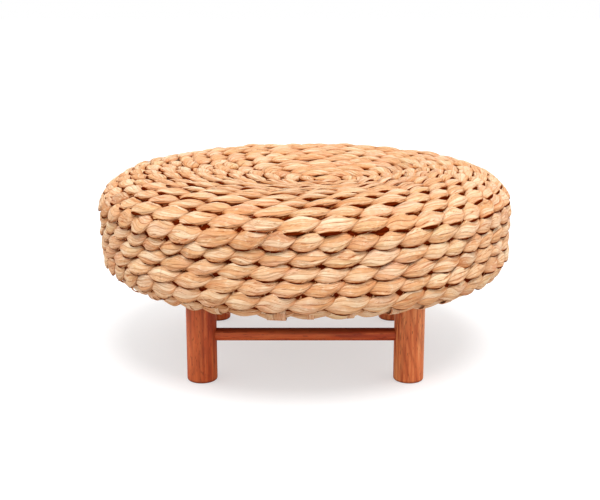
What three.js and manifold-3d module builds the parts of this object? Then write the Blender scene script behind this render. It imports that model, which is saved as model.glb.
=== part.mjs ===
// Low round stool. One thick rope winds from the eye of a dished seat over its rim and down its side,
// on a frame of bent stakes, hoops and a round board, which stands on four round legs with stretchers.
// Millimetres, +Z up, floor at z = 0, front towards -Y.
import * as THREE from 'three';
import { mergeVertices } from 'three/addons/utils/BufferGeometryUtils.js';
import Module from 'manifold-3d';

const wasm = await Module();
wasm.setup();

// Seat, measured over the rope
const seatDiameter = 540;
const rimHeight = 252;
const dishDepth = 18;
const shoulderWidth = 72;
const shoulderDrop = 43;
const baseHeight = 112;
const baseCornerWidth = 44;
const baseCornerRise = 37;

// Rope and its winding
const ropeWidth = 18.4;
const ropeThickness = 15;
const rowGap = 0.6;
const tailBend = 10;
const eyeBend = 10;
const eyeShift = 22;
const eyeTurn = THREE.MathUtils.degToRad(128);

// Seat frame
const stakeCount = 32;
const stakeWidth = 8;
const stakeThickness = 6;
const stakeLap = 9;
const boardThickness = 15;
const lowerHoopDiameter = 12;
const battenWidth = 50;
const battenDepth = 22;
const battenInset = 10;

// Legs and stretchers
const legDiameter = 38;
const legInset = 54.9;
const footRounding = 3;
const tenonDiameter = 24;
const stretcherDiameter = 16;
const stretcherHeight = 59.4;
const sideStretcherRise = 24;
const mortiseDepth = 14;

// Fasteners
const pinDiameter = 6;
const screwDiameter = 5;
const screwHeadDiameter = 9.5;
const screwHeadHeight = 3;
const screwLength = 31;
const screwSpacing = 120;

// Clearances
const jointGap = 0.3;
const tailHoleGap = 1.5;
const cutOverrun = 2;

// Facets of the round pieces
const loopSteps = 24;
const ropeSides = 6;
const bendSteps = 4;
const eyeSteps = 6;
const stakeDishSteps = 1;
const stakeShoulderSteps = 6;
const stakeCornerSteps = 5;
const hoopSteps = 2 * stakeCount;
const hoopSides = 8;
const roundSides = 32;
const holeSides = 16;
const outlineSteps = 120;

// Where the lower hoop lies in the base corner, as a share of that corner's quarter turn
const hoopCornerShare = 3 / stakeCornerSteps;

const materials = {
  rope: new THREE.MeshStandardMaterial({ color: 0xe0ad7d, roughness: 0.8, metalness: 0 }),
  cane: new THREE.MeshStandardMaterial({ color: 0xb98552, roughness: 0.6, metalness: 0 }),
  plywood: new THREE.MeshStandardMaterial({ color: 0xcfae80, roughness: 0.7, metalness: 0 }),
  stainedWood: new THREE.MeshStandardMaterial({ color: 0xa4502f, roughness: 0.45, metalness: 0 }),
  steel: new THREE.MeshStandardMaterial({ color: 0x9a9a98, roughness: 0.35, metalness: 1 }),
};

const stool = new THREE.Group();

function place(name, geometry, material) {
  const mesh = new THREE.Mesh(geometry, material.clone());
  mesh.name = name;
  stool.add(mesh);
  return mesh;
}

// Solids for cutting
function toSolid(geometry) {
  const bare = geometry.clone();
  bare.deleteAttribute('normal');
  bare.deleteAttribute('uv');
  const merged = mergeVertices(bare);
  return new wasm.Manifold(new wasm.Mesh({
    numProp: 3,
    vertProperties: new Float32Array(merged.attributes.position.array),
    triVerts: new Uint32Array(merged.index.array),
  }));
}

function toGeometry(solid) {
  const { vertProperties, triVerts } = solid.getMesh();
  const geometry = new THREE.BufferGeometry();
  geometry.setAttribute('position', new THREE.BufferAttribute(vertProperties, 3));
  geometry.setIndex(new THREE.BufferAttribute(triVerts, 1));
  geometry.computeVertexNormals();
  return geometry;
}

function cut(geometry, holes) {
  return toGeometry(holes.reduce((body, hole) => body.subtract(toSolid(hole)), toSolid(geometry)));
}

// A turned piece about the vertical, from [radius, height] pairs that start and end on the axis
function turned(pairs, sides = roundSides) {
  const geometry = new THREE.LatheGeometry(pairs.map(([r, z]) => new THREE.Vector2(r, z)), sides);
  return geometry.rotateX(Math.PI / 2);
}

function rod(radius, length, sides = roundSides) {
  return turned([[0, 0], [radius, 0], [radius, length], [0, length]], sides);
}

// Half outline of the rope's outer face: the dish, the shoulder, the side and the base corner
const seatRadius = seatDiameter / 2;
const rimRadius = seatRadius - shoulderWidth;
const quarterTurn = Math.PI / 2;

function outlinePoint(r, z, normalR, normalZ) {
  const size = Math.hypot(normalR, normalZ);
  return { r, z, nr: normalR / size, nz: normalZ / size };
}

function dishPoint(share) {
  const fall = 1 - share * share;
  const slope = 4 * dishDepth * share * fall / rimRadius;
  return outlinePoint(share * rimRadius, rimHeight - dishDepth * fall * fall, -slope, 1);
}

function shoulderPoint(share) {
  const turn = share * quarterTurn;
  return outlinePoint(
    rimRadius + shoulderWidth * Math.sin(turn), rimHeight - shoulderDrop * (1 - Math.cos(turn)),
    Math.sin(turn) / shoulderWidth, Math.cos(turn) / shoulderDrop,
  );
}

function cornerPoint(share) {
  const turn = share * quarterTurn;
  return outlinePoint(
    seatRadius - baseCornerWidth * (1 - Math.cos(turn)), baseHeight + baseCornerRise * (1 - Math.sin(turn)),
    Math.cos(turn) / baseCornerWidth, -Math.sin(turn) / baseCornerRise,
  );
}

function stretch(pointAt, steps, from = 0, to = 1) {
  return Array.from({ length: steps + 1 }, (_, i) => pointAt(from + (to - from) * i / steps));
}

function inset(point, depth) {
  return { ...point, r: point.r - depth * point.nr, z: point.z - depth * point.nz };
}

// The rope's middle line in that half plane, with the length run so far
const ropeLine = [
  ...stretch(dishPoint, outlineSteps),
  ...stretch(shoulderPoint, outlineSteps),
  ...stretch(cornerPoint, outlineSteps),
].map((point) => inset(point, ropeThickness / 2));
ropeLine[0].run = 0;
for (let i = 1; i < ropeLine.length; i += 1) {
  const step = Math.hypot(ropeLine[i].r - ropeLine[i - 1].r, ropeLine[i].z - ropeLine[i - 1].z);
  ropeLine[i].run = ropeLine[i - 1].run + step;
}
const ropeLineLength = ropeLine.at(-1).run;

function mix(a, b, share) {
  return a + (b - a) * share;
}

function ropeLineAt(key, value) {
  const i = Math.max(1, ropeLine.findIndex((point, n) => n > 0 && point[key] >= value));
  const [a, b] = [ropeLine[i - 1], ropeLine[i]];
  const share = (value - a[key]) / (b[key] - a[key]);
  return {
    r: mix(a.r, b.r, share), z: mix(a.z, b.z, share), run: mix(a.run, b.run, share),
    nr: mix(a.nr, b.nr, share), nz: mix(a.nz, b.nz, share),
  };
}

// Winding: each station is a place on the rope's middle with its sideways and outward directions
const rowPitch = ropeWidth + rowGap;
const ropeMiddleAtEye = rimHeight - dishDepth - ropeThickness / 2;

function tailStations() {
  const bendCentreZ = ropeMiddleAtEye - tailBend;
  const stations = [{
    at: new THREE.Vector3(0, 0, bendCentreZ - ropeWidth),
    side: new THREE.Vector3(0, 1, 0), out: new THREE.Vector3(-1, 0, 0),
  }];
  for (let i = 0; i <= bendSteps; i += 1) {
    const turn = quarterTurn * i / bendSteps;
    stations.push({
      at: new THREE.Vector3(tailBend * (1 - Math.cos(turn)), 0, bendCentreZ + tailBend * Math.sin(turn)),
      side: new THREE.Vector3(0, 1, 0),
      out: new THREE.Vector3(-Math.cos(turn), 0, Math.sin(turn)),
    });
  }
  return stations;
}

function eyeStations() {
  return Array.from({ length: eyeSteps }, (_, i) => {
    const heading = eyeTurn * (i + 1) / eyeSteps;
    const x = tailBend + eyeBend * Math.sin(heading);
    const y = eyeBend * (1 - Math.cos(heading));
    return {
      at: new THREE.Vector3(x, y, ropeLineAt('r', Math.hypot(x, y)).z),
      side: new THREE.Vector3(-Math.sin(heading), Math.cos(heading), 0),
      out: new THREE.Vector3(0, 0, 1),
    };
  });
}

function spiralStation(angle, run) {
  const { r, z, nr, nz } = ropeLineAt('run', run);
  const radial = new THREE.Vector3(Math.cos(angle), Math.sin(angle), 0);
  return {
    at: radial.clone().multiplyScalar(r).setZ(z),
    side: radial.clone().multiplyScalar(-nz).setZ(nr),
    out: radial.clone().multiplyScalar(nr).setZ(nz),
  };
}

function spiralStations(eyeEnd) {
  const startAngle = Math.atan2(eyeEnd.y, eyeEnd.x);
  const startRun = ropeLineAt('r', Math.hypot(eyeEnd.x, eyeEnd.y)).run;
  const step = 2 * Math.PI / loopSteps;
  const endAngle = startAngle + 2 * Math.PI * (ropeLineLength - startRun) / rowPitch;
  const stations = [];
  for (let angle = step * Math.ceil(startAngle / step + 1 / 2); angle < endAngle - step / 2; angle += step) {
    stations.push(spiralStation(angle, startRun + rowPitch * (angle - startAngle) / (2 * Math.PI)));
  }
  const last = spiralStation(endAngle, ropeLineLength);
  const onward = new THREE.Vector3(-Math.sin(endAngle), Math.cos(endAngle), 0).multiplyScalar(ropeWidth);
  const tip = { ...last, at: last.at.clone().add(onward) };
  console.log(`winding: ${((endAngle - startAngle) / (2 * Math.PI)).toFixed(2)} loops`);
  return [...stations, last, tip];
}

// The eye lies to the right of the seat's middle, so the dish's rows are squeezed there and wider opposite
function towardsEye(point) {
  const fall = Math.max(0, 1 - (point.x ** 2 + point.y ** 2) / rimRadius ** 2);
  return point.setX(point.x + eyeShift * fall * fall);
}

// Six-sided section, flat on its outer and inner faces
function sectionRing({ at, side, out }) {
  const flatHeight = ropeThickness / (2 * Math.cos(Math.PI / ropeSides));
  return Array.from({ length: ropeSides }, (_, i) => {
    const turn = 2 * Math.PI * i / ropeSides;
    return towardsEye(at.clone()
      .addScaledVector(side, ropeWidth / 2 * Math.cos(turn))
      .addScaledVector(out, flatHeight * Math.sin(turn)));
  });
}

function tubeThrough(rings) {
  const sides = rings[0].length;
  const positions = rings.flat().flatMap((p) => p.toArray());
  const index = [];
  for (let i = 0; i + 1 < rings.length; i += 1) {
    for (let j = 0; j < sides; j += 1) {
      const [a, b] = [i * sides + j, i * sides + (j + 1) % sides];
      index.push(a, b, a + sides, b, b + sides, a + sides);
    }
  }
  const lastRing = (rings.length - 1) * sides;
  for (let j = 1; j + 1 < sides; j += 1) {
    index.push(0, j + 1, j);
    index.push(lastRing, lastRing + j, lastRing + j + 1);
  }
  const geometry = new THREE.BufferGeometry();
  geometry.setAttribute('position', new THREE.Float32BufferAttribute(positions, 3));
  geometry.setIndex(index);
  geometry.computeVertexNormals();
  return geometry;
}

// Least gap of the winding to itself, on the section's corners and the middles of its long edges.
// Rings of the same bend are left out.
function leastGap(rings) {
  const ringsInBend = bendSteps + eyeSteps;
  const samples = rings.flatMap((ring, i) => ring.flatMap((corner, j) => {
    const next = rings[i + 1] ? corner.clone().lerp(rings[i + 1][j], 1 / 2) : corner;
    return [{ ring: i, p: corner }, { ring: i, p: next }];
  }));
  let least = Infinity;
  for (let a = 0; a < samples.length; a += 1) {
    for (let b = a + 1; b < samples.length; b += 1) {
      if (samples[b].ring - samples[a].ring > ringsInBend) {
        least = Math.min(least, samples[a].p.distanceToSquared(samples[b].p));
      }
    }
  }
  return Math.sqrt(least);
}

function makeWinding() {
  const start = [...tailStations(), ...eyeStations()];
  const rings = [...start, ...spiralStations(start.at(-1).at)].map(sectionRing);
  console.log(`winding: least gap to itself ${leastGap(rings).toFixed(2)} mm`);
  place('rope_winding', tubeThrough(rings), materials.rope);
}

// Stakes: bent flat under the rope, from the rim hoop over the shoulder to the base corner.
// The rope's inner face is a polygon, so its nearest radius is a share of the round one.
const facetShare = Math.cos(Math.PI / loopSteps);
const stakeStart = (rimRadius - stakeLap) / rimRadius;
const stakeLine = [
  ...stretch(dishPoint, stakeDishSteps, stakeStart, 1).slice(0, -1),
  ...stretch(shoulderPoint, stakeShoulderSteps),
  ...stretch(cornerPoint, stakeCornerSteps),
];

function underRope(point, depth) {
  const bed = inset(point, ropeThickness);
  return inset({ ...bed, r: bed.r * facetShare }, depth);
}
const stakeOuterEdge = stakeLine.map((point) => underRope(point, jointGap));
const stakeInnerEdge = stakeLine.map((point) => underRope(point, jointGap + stakeThickness));

function edgeRadiusAt(edge, height) {
  const i = edge.findIndex((point, n) => n > 0 && point.z <= height);
  const share = (height - edge[i - 1].z) / (edge[i].z - edge[i - 1].z);
  return mix(edge[i - 1].r, edge[i].r, share);
}

function makeStakes() {
  const outline = new THREE.Shape([...stakeOuterEdge, ...[...stakeInnerEdge].reverse()]
    .map((point) => new THREE.Vector2(point.r, point.z)));
  const geometry = new THREE.ExtrudeGeometry(outline, { depth: stakeWidth, bevelEnabled: false });
  geometry.translate(0, 0, -stakeWidth / 2);
  geometry.rotateX(Math.PI / 2);
  for (let i = 0; i < stakeCount; i += 1) {
    const stake = place(`stake_${String(i + 1).padStart(2, '0')}`, geometry, materials.cane);
    stake.rotation.z = 2 * Math.PI * i / stakeCount;
  }
}

// Board under the rope, with a hole for the rope's tail. The legs stand on its diagonals, inset from its edge.
const boardTop = rimHeight - dishDepth - ropeThickness - jointGap;
const boardBottom = boardTop - boardThickness;
const boardRadius = edgeRadiusAt(stakeInnerEdge, boardTop) - jointGap;
const legOffset = (boardRadius - legInset) * Math.SQRT1_2;
const battenTop = boardBottom - jointGap;
const battenBottom = battenTop - battenDepth;
const sideSigns = [['left', -1], ['right', 1]];
const endSigns = [['front', -1], ['rear', 1]];

function screwOutline(slack) {
  const shank = screwDiameter / 2 + slack;
  const head = screwHeadDiameter / 2 + slack;
  return [[0, 0], [head, 0], [shank, screwHeadHeight], [shank, screwLength + slack], [0, screwLength + slack]];
}

function screwHoles(x) {
  return endSigns.map(([, sign]) => {
    const hole = turned(screwOutline(jointGap), holeSides);
    return hole.translate(x, sign * screwSpacing / 2, battenBottom);
  });
}

function makeBoard() {
  const tailHole = rod(ropeWidth / 2 + tailHoleGap, boardThickness + 2 * cutOverrun);
  tailHole.translate(eyeShift, 0, boardBottom - cutOverrun);
  const holes = sideSigns.flatMap(([, sign]) => screwHoles(sign * legOffset));
  const disc = rod(boardRadius, boardThickness, hoopSteps).translate(0, 0, boardBottom);
  place('seat_board', cut(disc, [tailHole, ...holes]), materials.plywood);
}

// Hoops: the rim hoop lies on the board under the stakes' upper ends, the lower one ties their lower ends
function hoop(name, radius, height, thickness) {
  const ring = new THREE.TorusGeometry(radius, thickness / 2, hoopSides, hoopSteps).translate(0, 0, height);
  place(name, ring, materials.cane);
}

function makeHoops() {
  const stakeUnderside = underRope(shoulderPoint(0), jointGap + stakeThickness);
  const rimHoopDiameter = stakeUnderside.z - boardTop - 2 * jointGap;
  hoop('rim_hoop', stakeUnderside.r, boardTop + jointGap + rimHoopDiameter / 2, rimHoopDiameter);
  const seat = underRope(cornerPoint(hoopCornerShare), 2 * jointGap + stakeThickness + lowerHoopDiameter / 2);
  hoop('lower_hoop', seat.r, seat.z, lowerHoopDiameter);
}

// Battens: screwed under the board, each holds two leg tenons with a cross pin
const pinHeight = (battenTop + battenBottom) / 2;

function crossPin(slack, length) {
  const pin = rod(pinDiameter / 2 + slack, length, holeSides);
  return pin.rotateY(Math.PI / 2).translate(-length / 2, 0, pinHeight);
}

function makeBatten(name, x) {
  const reach = Math.sqrt((boardRadius - battenInset) ** 2 - (legOffset + battenWidth / 2) ** 2);
  const block = new THREE.BoxGeometry(battenWidth, 2 * reach, battenDepth).translate(x, 0, pinHeight);
  const holes = endSigns.flatMap(([, sign]) => {
    const socket = rod(tenonDiameter / 2 + jointGap, battenDepth + 2 * cutOverrun);
    const pinHole = crossPin(jointGap, battenWidth + 2 * cutOverrun);
    return [
      socket.translate(x, sign * legOffset, battenBottom - cutOverrun),
      pinHole.translate(x, sign * legOffset, 0),
    ];
  });
  place(name, cut(block, [...holes, ...screwHoles(x)]), materials.stainedWood);
}

function makeScrew(name, x, y) {
  const screw = place(name, turned(screwOutline(0), holeSides), materials.steel);
  screw.position.set(x, y, battenBottom);
}

function makePin(name, x, y) {
  const pin = place(name, crossPin(0, battenWidth), materials.stainedWood);
  pin.position.set(x, y, 0);
}

// Legs: round, eased at the foot, with a tenon on top and two blind holes for the stretchers
const legRadius = legDiameter / 2;
const legShoulder = battenBottom - jointGap;
const sideStretcherHeight = stretcherHeight + sideStretcherRise;
const mortiseFloor = legRadius - mortiseDepth;

function stretcherHole(axisTurn, height) {
  const hole = rod(stretcherDiameter / 2 + jointGap, legRadius + cutOverrun, holeSides);
  return hole.translate(0, 0, mortiseFloor).rotateY(quarterTurn).rotateZ(axisTurn).translate(0, 0, height);
}

function makeLeg(name, signX, signY) {
  const easing = footRounding * (1 - Math.SQRT1_2);
  const blank = turned([
    [0, 0], [legRadius - footRounding, 0], [legRadius - easing, easing], [legRadius, footRounding],
    [legRadius, legShoulder], [tenonDiameter / 2, legShoulder],
    [tenonDiameter / 2, battenTop - jointGap], [0, battenTop - jointGap],
  ]);
  const towardsMiddleX = signX < 0 ? 0 : Math.PI;
  const towardsMiddleY = signY < 0 ? quarterTurn : -quarterTurn;
  const leg = place(name, cut(blank, [
    stretcherHole(towardsMiddleX, stretcherHeight),
    stretcherHole(towardsMiddleY, sideStretcherHeight),
    crossPin(jointGap, legDiameter),
  ]), materials.stainedWood);
  leg.position.set(signX * legOffset, signY * legOffset, 0);
}

// Stretchers: plain rods glued into the legs, the side ones higher so that the holes stay apart
function makeStretcher(name, x, y, height, turn) {
  const length = 2 * (legOffset - mortiseFloor - jointGap);
  const geometry = rod(stretcherDiameter / 2, length, holeSides).translate(0, 0, -length / 2);
  const stretcher = place(name, geometry.rotateY(quarterTurn), materials.stainedWood);
  stretcher.position.set(x, y, height);
  stretcher.rotation.z = turn;
}

makeWinding();
makeStakes();
makeHoops();
makeBoard();
for (const [side, signX] of sideSigns) {
  makeBatten(`batten_${side}`, signX * legOffset);
  makeStretcher(`stretcher_${side}`, signX * legOffset, 0, sideStretcherHeight, quarterTurn);
  for (const [end, signY] of endSigns) {
    makeLeg(`leg_${end}_${side}`, signX, signY);
    makePin(`leg_pin_${end}_${side}`, signX * legOffset, signY * legOffset);
    makeScrew(`batten_screw_${end}_${side}`, signX * legOffset, signY * screwSpacing / 2);
  }
}
for (const [end, signY] of endSigns) {
  makeStretcher(`stretcher_${end}`, 0, signY * legOffset, stretcherHeight, 0);
}

export default stool;
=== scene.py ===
# %% [markdown]
# # A low rope stool
# The stool is a drum of thick twisted leaf rope on a hidden frame, standing on four stained legs. The packed
# model is the fixed frame for this lesson: legs, rails, battens and hoops take their places and sizes from
# it, and the rope is wound over it. The lesson begins by loading that model and noting its box.

# %% Load the frame
import math

import bmesh
import bpy
import numpy as np
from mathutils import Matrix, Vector


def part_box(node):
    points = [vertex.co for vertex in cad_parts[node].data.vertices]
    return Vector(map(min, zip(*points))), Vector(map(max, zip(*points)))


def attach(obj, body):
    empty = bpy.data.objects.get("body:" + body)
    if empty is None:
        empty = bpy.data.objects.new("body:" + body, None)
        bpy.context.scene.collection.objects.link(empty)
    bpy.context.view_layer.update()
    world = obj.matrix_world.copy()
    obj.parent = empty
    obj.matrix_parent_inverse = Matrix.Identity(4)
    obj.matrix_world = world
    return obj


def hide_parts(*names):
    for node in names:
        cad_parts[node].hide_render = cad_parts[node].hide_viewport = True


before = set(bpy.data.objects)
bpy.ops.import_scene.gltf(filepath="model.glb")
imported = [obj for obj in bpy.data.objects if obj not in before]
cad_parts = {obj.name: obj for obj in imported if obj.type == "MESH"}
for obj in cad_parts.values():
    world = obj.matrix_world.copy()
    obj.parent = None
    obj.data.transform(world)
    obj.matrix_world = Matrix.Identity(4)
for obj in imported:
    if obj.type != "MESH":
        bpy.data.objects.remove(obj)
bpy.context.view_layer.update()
MM = 0.001

# %% [markdown]
# ## Camera
# The photograph was taken from a little above the seat with a longish lens. The camera's height, distance
# and tilt come from matching the four feet, the stretcher and the seat's outline, so nothing is shifted.

# %% Camera
FOCAL_PX = 1076.8
IMAGE_WIDTH_PX = 600
IMAGE_HEIGHT_PX = 500
SENSOR_WIDTH = 36.0
CAMERA_PLACE = (-6.8 * MM, -1415 * MM, 482 * MM)
CAMERA_TILT_DEG = 13.74

camera_data = bpy.data.cameras.new("camera")
camera_data.sensor_width = SENSOR_WIDTH
camera_data.lens = FOCAL_PX / IMAGE_WIDTH_PX * SENSOR_WIDTH
camera = bpy.data.objects.new("camera", camera_data)
camera.location = CAMERA_PLACE
camera.rotation_euler = (math.radians(90 - CAMERA_TILT_DEG), 0, 0)
bpy.context.scene.collection.objects.link(camera)
bpy.context.scene.camera = camera
print("lens:", round(camera_data.lens, 2), "mm")

# %% [markdown]
# ## The seat's outline
# The rope follows one outline from the eye to the lower edge: a shallow dish, a round shoulder, a
# straight side and a tucked-in corner. These are the frame's own sizes, and the rope's middle runs inside
# them by half its thickness. The length along that middle line says where each row lies.

# %% The rope's middle line in a half plane
SEAT_RADIUS = 270 * MM
RIM_HEIGHT = 252 * MM
DISH_DEPTH = 18 * MM
SHOULDER_WIDTH = 72 * MM
SHOULDER_DROP = 43 * MM
BASE_HEIGHT = 112 * MM
CORNER_WIDTH = 44 * MM
CORNER_RISE = 37 * MM
ROPE_WIDTH = 18.4 * MM
ROPE_THICKNESS = 15 * MM
ROW_PITCH = 19 * MM
RIM_RADIUS = SEAT_RADIUS - SHOULDER_WIDTH
CURVE_STEPS = 400


def seat_outline():
    """Radius, height and outward direction of the rope's outer face, from the eye to the lower edge."""
    share = np.linspace(0, 1, CURVE_STEPS)
    turn = share * math.pi / 2
    fall = 1 - share**2
    dish = (share * RIM_RADIUS, RIM_HEIGHT - DISH_DEPTH * fall**2,
            -4 * DISH_DEPTH * share * fall / RIM_RADIUS, np.ones(CURVE_STEPS))
    cos, sin = np.cos(turn), np.sin(turn)
    shoulder = (RIM_RADIUS + SHOULDER_WIDTH * sin, RIM_HEIGHT - SHOULDER_DROP * (1 - cos),
                sin / SHOULDER_WIDTH, cos / SHOULDER_DROP)
    corner = (SEAT_RADIUS - CORNER_WIDTH * (1 - cos), BASE_HEIGHT + CORNER_RISE * (1 - sin),
              cos / CORNER_WIDTH, -sin / CORNER_RISE)
    r, z, nr, nz = (np.concatenate(parts) for parts in zip(dish, shoulder, corner))
    size = np.hypot(nr, nz)
    return r, z, nr / size, nz / size


outer_r, outer_z, normal_r, normal_z = seat_outline()
line_r = outer_r - normal_r * ROPE_THICKNESS / 2
line_z = outer_z - normal_z * ROPE_THICKNESS / 2
line_run = np.concatenate([[0], np.cumsum(np.hypot(np.diff(line_r), np.diff(line_z)))])
dish_r, dish_z, dish_run = (values[:CURVE_STEPS] for values in (line_r, line_z, line_run))
print("rope's middle line:", round(line_run[-1] / MM, 1), "mm from eye to edge")

# %% [markdown]
# ## The rope's route
# The rope rises through the board at the eye, bends over, curls tightly and then winds outwards, one
# row's width each time round. A dense list of points is worked out first, then spaced evenly along its
# length, so that the twist can be laid on by length. The eye lies to the right of the middle, as in the
# photograph, so its rows crowd together on one side. Down the seat's side the rows lie a little closer
# than on top, as they do when they are counted in the photograph, and the last one drops away so that its
# bindings show.

# %% The rope's route from the eye to the edge
TAIL_BEND = 10 * MM
EYE_BEND = 10 * MM
EYE_TURN = math.radians(128)
EYE_SHIFT = 22 * MM
EYE_CLOSING = 6.5 * MM
EYE_CLOSING_TURNS = 4
SPACING_PLACES = (218 * MM, 236 * MM, 352 * MM, 368 * MM)
ROW_SPACINGS = (1.0, 0.925, 0.925, 1.22)
ANGLE_STEP = 0.004
BEND_STEPS = 40
CURL_STEPS = 60
STATION_STEP = 2.8 * MM


def tail_and_eye():
    """Points and outward directions of the upright tail, its bend and the tight curl of the eye."""
    middle = RIM_HEIGHT - DISH_DEPTH - ROPE_THICKNESS / 2
    centre = middle - TAIL_BEND
    rise = np.linspace(centre - ROPE_WIDTH, centre, BEND_STEPS)[:-1]
    zero = np.zeros_like(rise)
    tail = (np.stack([zero, zero, rise], 1), np.stack([zero - 1, zero, zero], 1))
    turn = np.linspace(0, math.pi / 2, BEND_STEPS)[:-1]
    zero = np.zeros_like(turn)
    bend = (np.stack([TAIL_BEND * (1 - np.cos(turn)), zero, centre + TAIL_BEND * np.sin(turn)], 1),
            np.stack([-np.cos(turn), zero, np.sin(turn)], 1))
    heading = np.linspace(0, EYE_TURN, CURL_STEPS)[:-1]
    x = TAIL_BEND + EYE_BEND * np.sin(heading)
    y = EYE_BEND * (1 - np.cos(heading))
    curl = (np.stack([x, y, np.interp(np.hypot(x, y), dish_r, dish_z)], 1),
            np.stack([0 * x, 0 * x, 0 * x + 1], 1))
    return [np.concatenate(parts) for parts in zip(tail, bend, curl)]


def spiral(start):
    """Points, outward directions and spacings of the rows, from the curl's end to the rope's."""
    start_angle = math.atan2(start[1], start[0])
    start_run = np.interp(math.hypot(start[0], start[1]), dish_r, dish_run)
    end_angle = start_angle + 2 * math.pi * (line_run[-1] - start_run) / ROW_PITCH
    angle = np.arange(start_angle, end_angle, ANGLE_STEP)
    even_run = start_run + ROW_PITCH * (angle - start_angle) / (2 * math.pi)
    spacing = np.interp(even_run, SPACING_PLACES, ROW_SPACINGS)
    run = start_run + np.cumsum(spacing) * ROW_PITCH * ANGLE_STEP / (2 * math.pi)
    r, z, nr, nz = (np.interp(run, line_run, values) for values in (line_r, line_z, normal_r, normal_z))
    closing = EYE_CLOSING * np.exp(-(angle - start_angle) / (2 * math.pi * EYE_CLOSING_TURNS))
    cos, sin = np.cos(angle), np.sin(angle)
    x = (r - closing) * cos + closing * math.cos(start_angle)
    y = (r - closing) * sin + closing * math.sin(start_angle)
    return np.stack([x, y, z], 1), np.stack([nr * cos, nr * sin, nz], 1), spacing


start_points, start_outs = tail_and_eye()
row_points, row_outs, row_spacings = spiral(start_points[-1])
raw_points = np.concatenate([start_points, row_points])
raw_outs = np.concatenate([start_outs, row_outs])
# The eye's shift fades out towards the rim, and its slope is how much it squeezes or widens the rows.
fall = np.clip(1 - (raw_points[:, 0]**2 + raw_points[:, 1]**2) / RIM_RADIUS**2, 0, None)
crowding = 1 - 4 * EYE_SHIFT / RIM_RADIUS**2 * fall * raw_points[:, 0]
crowding[len(start_points):] *= np.minimum(row_spacings, 1)
raw_points[:, 0] += EYE_SHIFT * fall**2
raw_length = np.concatenate([[0], np.cumsum(np.linalg.norm(np.diff(raw_points, axis=0), axis=1))])
length = np.arange(0, raw_length[-1], STATION_STEP)


def along(values):
    """Values of the dense route at the even stations."""
    return np.stack([np.interp(length, raw_length, column) for column in np.atleast_2d(values.T)], -1)


def unit(vectors):
    """The same directions, each one metre long."""
    return vectors / np.linalg.norm(vectors, axis=-1, keepdims=True)


middle = along(raw_points)
heading = unit(np.gradient(middle, axis=0))
outward = along(raw_outs)
outward = unit(outward - heading * (outward * heading).sum(1, keepdims=True))
sideways = np.cross(outward, heading)
row_share = along(crowding)[:, 0]
print("rope:", round(raw_length[-1], 2), "m long,", len(length), "stations")

# %% [markdown]
# ## Two twisted strands
# The rope is two fat strands of folded dry leaf twisted round each other. Each strand shows on the
# outside as a row of leaf-shaped lobes that rise to the right. Array and curve modifiers would make every
# lobe the same, and a real leaf rope has no two alike, so the strands are swept in code: an oval section
# travels round the rope's middle, swells where it faces out, and carries folds that run along the leaf.
# Every lobe draws its own width, height, folds and tone from seeded random numbers. Down the side each
# row's lower edge overlaps the row below, as shingles do, and where the seat bends the strands spread
# wider to fill the fan between rows.

# %% Smooth random values along the rope
LOBE_SPACING = 37.5 * MM
LOBE_VARIATION = 0.2
LAY_WANDER = 60 * MM
STRANDS = 2
LAY_SEED, DRIFT_SEED, LIFT_SEED = 11, 21, 22
SPARE_DRAWS = 3


def smooth_noise(seed, positions, reach):
    """Random values from -1 to 1 that change smoothly over the given reach."""
    knots = np.random.default_rng(seed).uniform(-1, 1, int(positions.max() / reach) + SPARE_DRAWS)
    place = positions / reach
    i = place.astype(int)
    t = place - i
    t = t * t * (3 - 2 * t)
    return knots[i] * (1 - t) + knots[i + 1] * t


lay_wander = smooth_noise(LAY_SEED, length, LAY_WANDER)
lay_rate = 1 / (STRANDS * LOBE_SPACING * (1 + LOBE_VARIATION * lay_wander))
lay_turns = np.cumsum(lay_rate) * STATION_STEP
print("lobes showing:", int(STRANDS * lay_turns[-1]))

# %% How the rows lean and spread
OVERLAP_PLACES = (0, 0.5, 0.95)
ROW_OVERLAPS = (0.12, 0.09, -0.04)
SHOULDER_SPREAD = 0.3
CORNER_SPREAD = 0.1
BEND_SHARPNESS = 0.6

# upwards is 0 down the side and 1 on the top, level is its square as a column, and bend is 1 where the seat
# turns most.
upwards = outward[:, 2]
level = np.clip(outward[:, 2:], 0, 1)**2
overlap = np.interp(upwards, OVERLAP_PLACES, ROW_OVERLAPS)
bend = np.sin(math.pi * np.abs(upwards)**BEND_SHARPNESS)
spread = 1 + np.where(upwards > 0, SHOULDER_SPREAD, CORNER_SPREAD) * bend
print("strands spread by up to", round(spread.max(), 2))

# %% Each lobe's own values
CHANGE_START = 0.4
CHANGE_SHARE = 0.2
FOLDS_ROUND = 13
FOLD_TABLE = 64
FOLD_UNEVENNESS = 0.3
FOLD_UNEVENNESS_RATE = 2.3
FOLD_SHAKE = 4
FOLD_SHAKE_REACH = 40 * MM
CREST_PLACES = (0.25, 0.75)
CREASE_DEPTHS = (0.25, 1)
FOLD_ROUNDNESS = 0.7


def lobe_count(phase):
    """Enough table rows for every lobe of a strand."""
    return int(phase.max()) + SPARE_DRAWS


def lobe_share(phase):
    """The lobe that each station belongs to, and the share of the next one, changing out of sight."""
    lobe = np.floor(phase).astype(int)
    return lobe, np.clip((phase - lobe - CHANGE_START) / CHANGE_SHARE, 0, 1)


def blend_lobes(table, phase):
    """Each lobe's value from a table, blended where the strand is out of sight behind the rope."""
    lobe, t = lobe_share(phase)
    return table[lobe] * (1 - t) + table[lobe + 1] * t


def lobe_values(seed, phase, low, high):
    """One random value for each lobe, as a column."""
    table = np.random.default_rng(seed).uniform(low, high, lobe_count(phase))
    return blend_lobes(table, phase)[:, None]


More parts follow.
